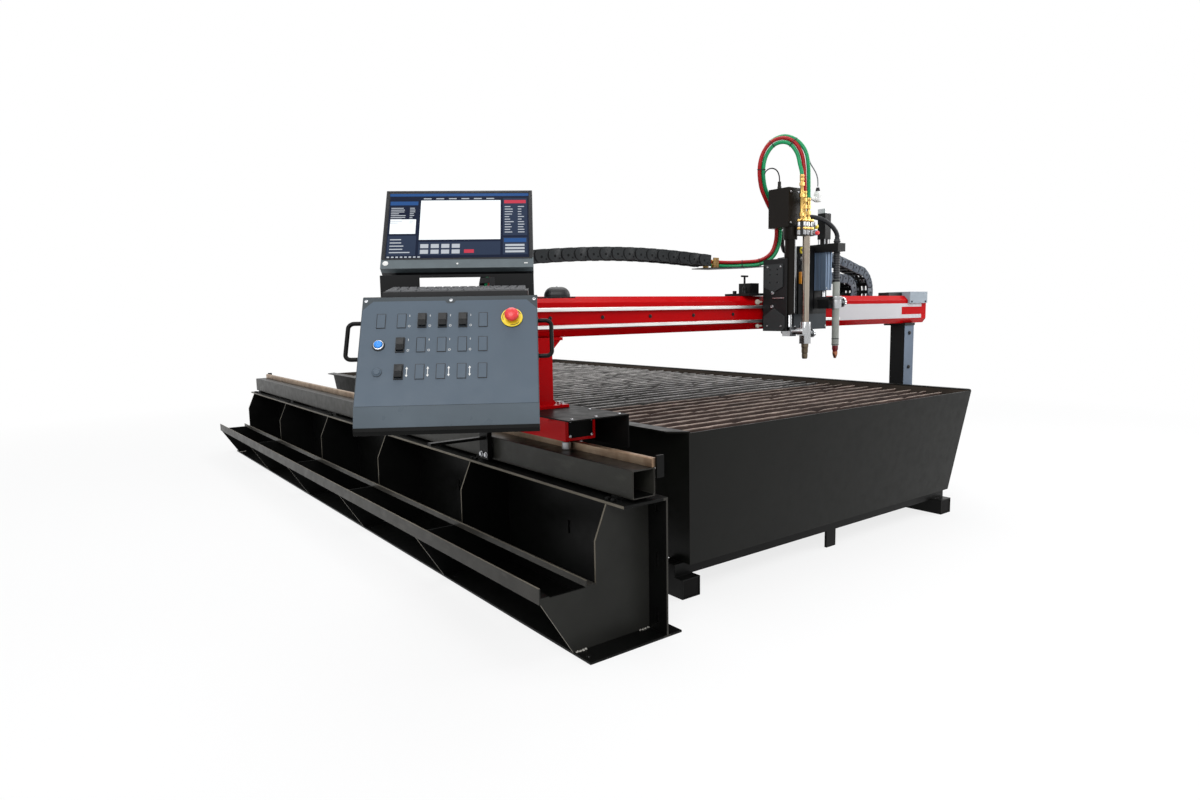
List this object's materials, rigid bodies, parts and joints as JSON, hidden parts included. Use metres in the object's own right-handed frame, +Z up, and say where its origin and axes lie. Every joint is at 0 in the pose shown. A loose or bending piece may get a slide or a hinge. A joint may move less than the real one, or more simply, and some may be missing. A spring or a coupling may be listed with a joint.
{
  "type": "cnc plasma table",
  "caption": "Gantry cutting machine: rail stand, slatted slag table, red cross beam on a rack-driven truck, swivelling operator console, oxy-fuel and plasma torches on powered lifters.",
  "frame": {"origin": "on the floor under the near end of the master rail's centre line", "axes": "+X across the table from the master rail to the slave rail, +Y along the rails away from the console's end, +Z up"},
  "size_m": [3.8003, 5.2678, 1.9588],
  "materials": {
    "black_coat": "satin powder coat",
    "dark_steel": "satin",
    "rail_steel": "ground",
    "gear_steel": "machined",
    "scorched_steel": "rusty and scorched",
    "red_coat": "gloss enamel",
    "grey_sheet": "satin",
    "light_grey": "satin",
    "chain_plastic": "matte",
    "panel_grey": "fine texture",
    "gloss_black": "gloss",
    "black_plastic": "matte",
    "red_plastic": "gloss",
    "blue_plastic": "gloss",
    "lifter_aluminium": "anodised",
    "chrome": "polished",
    "torch_steel": "polished",
    "brass": "bright",
    "torch_grey": "matte",
    "green_rubber": "satin",
    "red_rubber": "satin",
    "black_rubber": "satin"
  },
  "bodies": {
    "base": {"rail_stand": "black_coat", "stand_ribs": "black_coat", "rail_fittings": "dark_steel", "rail_tube": "black_coat", "rail_bar": "rail_steel", "gear_rack": "gear_steel", "slave_rail": "black_coat", "tank_shell": "black_coat", "slat_combs": "scorched_steel", "support_slats": "scorched_steel", "table_skids": "black_coat"},
    "gantry": {"carriage_truck": "red_coat", "carriage_cover": "grey_sheet", "drive_motor": "black_coat", "carriage_column": "red_coat", "cross_beam": "red_coat", "beam_rails": "rail_steel", "end_cover": "light_grey", "right_post": "black_coat", "chain_tray": "dark_steel", "hose_chain": "chain_plastic", "cable_chain": "chain_plastic", "console_arm": "black_coat"},
    "console": {"console_post": "dark_steel", "console_box": "black_coat", "console_panel": "panel_grey", "console_handles": "black_coat", "monitor_bracket": "black_coat", "monitor": "gloss_black", "keyboard_mouse": "black_plastic", "switch_plates": "black_plastic"},
    "torch_carriage": {"torch_plate": "black_coat", "bearing_blocks": "dark_steel", "clamp_block": "black_coat", "oxy_lifter": "black_coat", "plasma_lifter": "lifter_aluminium", "oxygen_hose": "green_rubber", "fuel_hose": "red_rubber", "plasma_lead": "black_rubber"},
    "oxy_lift": {"torch_holder": "chrome", "oxy_torch": "torch_steel", "torch_fittings": "brass"},
    "plasma_lift": {"plasma_slide": "torch_steel", "plasma_torch": "torch_grey"},
    "load_wheel_front": {"load_wheel_front": "gear_steel"},
    "load_wheel_rear": {"load_wheel_rear": "gear_steel"},
    "guide_roller_left": {"guide_roller_left": "gear_steel"},
    "guide_roller_right": {"guide_roller_right": "gear_steel"},
    "right_wheel_front": {"right_wheel_front": "gear_steel"},
    "right_wheel_rear": {"right_wheel_rear": "gear_steel"},
    "drive_pinion": {"drive_pinion": "gear_steel"},
    "estop_button": {"estop_button": "red_plastic"},
    "start_button": {"start_button": "blue_plastic"},
    "rocker_1": {"rocker_1": "black_plastic"},
    "rocker_2": {"rocker_2": "black_plastic"},
    "rocker_3": {"rocker_3": "black_plastic"},
    "rocker_4": {"rocker_4": "black_plastic"},
    "rocker_5": {"rocker_5": "black_plastic"},
    "clamp_handle": {"clamp_handle": "dark_steel"},
    "holder_knob": {"holder_knob": "chrome"}
  },
  "joints": [
    {"name": "gantry_travel", "type": "slide", "parent": "base", "child": "gantry", "axis": [0, 1, 0], "range_m": [-0.08, 3.9]},
    {"name": "cross_travel", "type": "slide", "parent": "gantry", "child": "torch_carriage", "axis": [1, 0, 0], "range_m": [-1, 0.15], "deforming": ["hose_chain", "cable_chain"]},
    {"name": "oxy_lift_travel", "type": "slide", "parent": "torch_carriage", "child": "oxy_lift", "axis": [0, 0, 1], "range_m": [-0.16, 0.03], "deforming": ["oxygen_hose", "fuel_hose"]},
    {"name": "plasma_lift_travel", "type": "slide", "parent": "torch_carriage", "child": "plasma_lift", "axis": [0, 0, 1], "range_m": [-0.13, 0.03], "deforming": ["plasma_lead"]},
    {"name": "console_swivel", "type": "hinge", "parent": "gantry", "child": "console", "pos_m": [-0.56, 0.209, 0.81], "axis": [0, 0, 1], "range_deg": [-90, 90]},
    {"name": "load_wheel_front_spin", "type": "hinge", "parent": "gantry", "child": "load_wheel_front", "pos_m": [0.045, 0.545, 0.6833], "axis": [1, 0, 0], "continuous": true},
    {"name": "load_wheel_rear_spin", "type": "hinge", "parent": "gantry", "child": "load_wheel_rear", "pos_m": [0.045, 0.95, 0.6833], "axis": [1, 0, 0], "continuous": true},
    {"name": "guide_roller_left_spin", "type": "hinge", "parent": "gantry", "child": "guide_roller_left", "pos_m": [0.0157, 0.475, 0.627], "axis": [0, 0, 1], "continuous": true},
    {"name": "guide_roller_right_spin", "type": "hinge", "parent": "gantry", "child": "guide_roller_right", "pos_m": [0.0743, 0.475, 0.627], "axis": [0, 0, 1], "continuous": true},
    {"name": "right_wheel_front_spin", "type": "hinge", "parent": "gantry", "child": "right_wheel_front", "pos_m": [2.685, 0.578, 0.5883], "axis": [1, 0, 0], "continuous": true},
    {"name": "right_wheel_rear_spin", "type": "hinge", "parent": "gantry", "child": "right_wheel_rear", "pos_m": [2.685, 0.832, 0.5883], "axis": [1, 0, 0], "continuous": true},
    {"name": "pinion_spin", "type": "hinge", "parent": "gantry", "child": "drive_pinion", "pos_m": [0.0973, 0.84823, 0.59], "axis": [0, 0, 1], "continuous": true},
    {"name": "estop_press", "type": "slide", "parent": "console", "child": "estop_button", "axis": [-0.4639, -0.7143, 0.524], "range_m": [-0.006, 0], "stiffness_N_per_m": 600},
    {"name": "start_press", "type": "slide", "parent": "console", "child": "start_button", "axis": [-0.4639, -0.7143, 0.524], "range_m": [-0.004, 0], "stiffness_N_per_m": 300},
    {"name": "clamp_turn", "type": "hinge", "parent": "torch_carriage", "child": "clamp_handle", "pos_m": [1.262, 0.7, 1.238], "axis": [0, 0, 1], "continuous": true},
    {"name": "knob_turn", "type": "hinge", "parent": "oxy_lift", "child": "holder_knob", "pos_m": [1.45, 0.44, 1.014], "axis": [1, 0, 0], "continuous": true},
    {"name": "rocker_1_tilt", "type": "hinge", "parent": "console", "child": "rocker_1", "pos_m": [-0.72081, 0.10165, 1.11872], "axis": [0.8387, -0.5446, 0], "range_deg": [-8, 8]},
    {"name": "rocker_2_tilt", "type": "hinge", "parent": "console", "child": "rocker_2", "pos_m": [-0.67359, 0.07099, 1.11872], "axis": [0.8387, -0.5446, 0], "range_deg": [-8, 8]},
    {"name": "rocker_3_tilt", "type": "hinge", "parent": "console", "child": "rocker_3", "pos_m": [-0.62638, 0.04032, 1.11872], "axis": [0.8387, -0.5446, 0], "range_deg": [-8, 8]},
    {"name": "rocker_4_tilt", "type": "hinge", "parent": "console", "child": "rocker_4", "pos_m": [-0.79, 0.09847, 1.05314], "axis": [0.8387, -0.5446, 0], "range_deg": [-8, 8]},
    {"name": "rocker_5_tilt", "type": "hinge", "parent": "console", "child": "rocker_5", "pos_m": [-0.81369, 0.062, 0.98244], "axis": [0.8387, -0.5446, 0], "range_deg": [-8, 8]}
  ],
  "couplings": [
    {"joint": "pinion_spin", "follows": "gantry_travel", "rad_per_m": 35.714},
    {"joint": "guide_roller_left_spin", "follows": "gantry_travel", "rad_per_m": -55.556},
    {"joint": "guide_roller_right_spin", "follows": "gantry_travel", "rad_per_m": 55.556},
    {"joint": "load_wheel_front_spin", "follows": "gantry_travel", "rad_per_m": -25},
    {"joint": "load_wheel_rear_spin", "follows": "gantry_travel", "rad_per_m": -25},
    {"joint": "right_wheel_front_spin", "follows": "gantry_travel", "rad_per_m": -22.222},
    {"joint": "right_wheel_rear_spin", "follows": "gantry_travel", "rad_per_m": -22.222}
  ]
}
